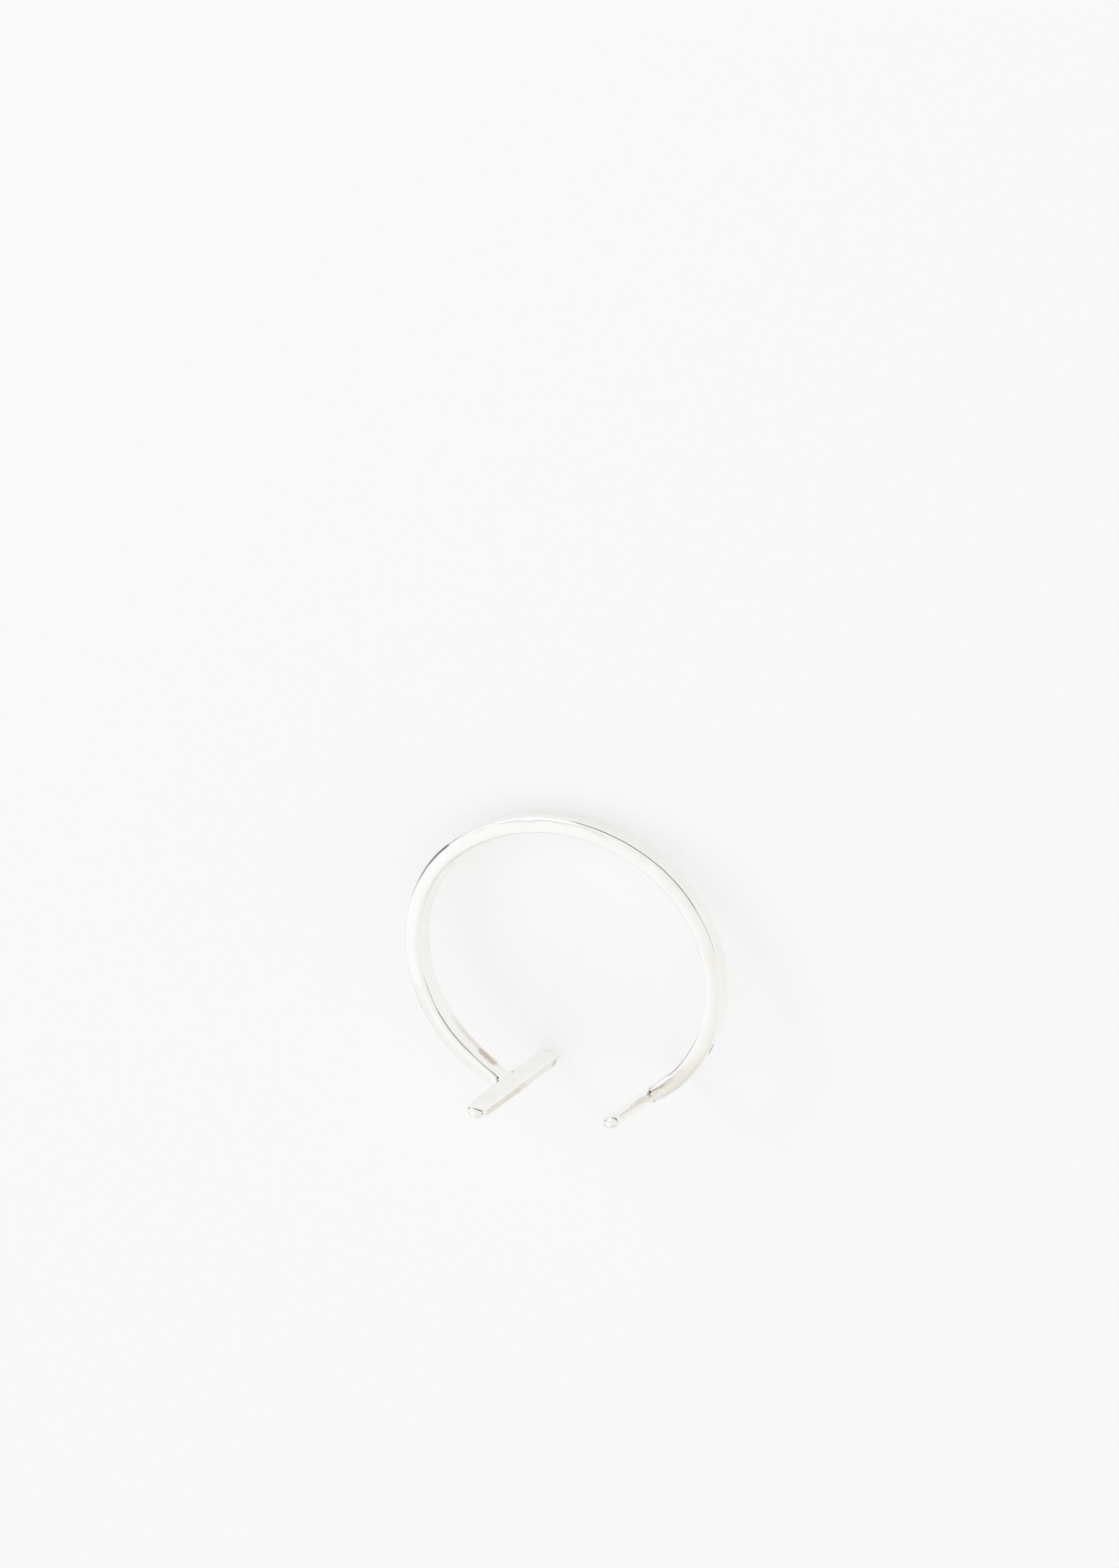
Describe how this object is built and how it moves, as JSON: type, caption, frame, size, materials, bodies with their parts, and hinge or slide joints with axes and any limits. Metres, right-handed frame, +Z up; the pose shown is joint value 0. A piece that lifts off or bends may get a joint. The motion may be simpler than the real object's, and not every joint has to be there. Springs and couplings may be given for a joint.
{
  "type": "open ring with crossbar ends",
  "caption": "Open finger ring: a thin flattened silver band whose ends each carry a short flat crossbar along the finger, with a gap between them.",
  "frame": {"origin": "middle of the footprint, on the surface that the ring rests on", "axes": "+Z up; +X across the ring, from one crossbar to the other; the gap faces -Y and is raised, the back of the band lies at +Y"},
  "size_m": [0.0204, 0.0182, 0.0092],
  "materials": {
    "silver": "polished silver, lightly tarnished at the solder joints"
  },
  "bodies": {
    "root": {"open_band": "silver"}
  },
  "joints": []
}
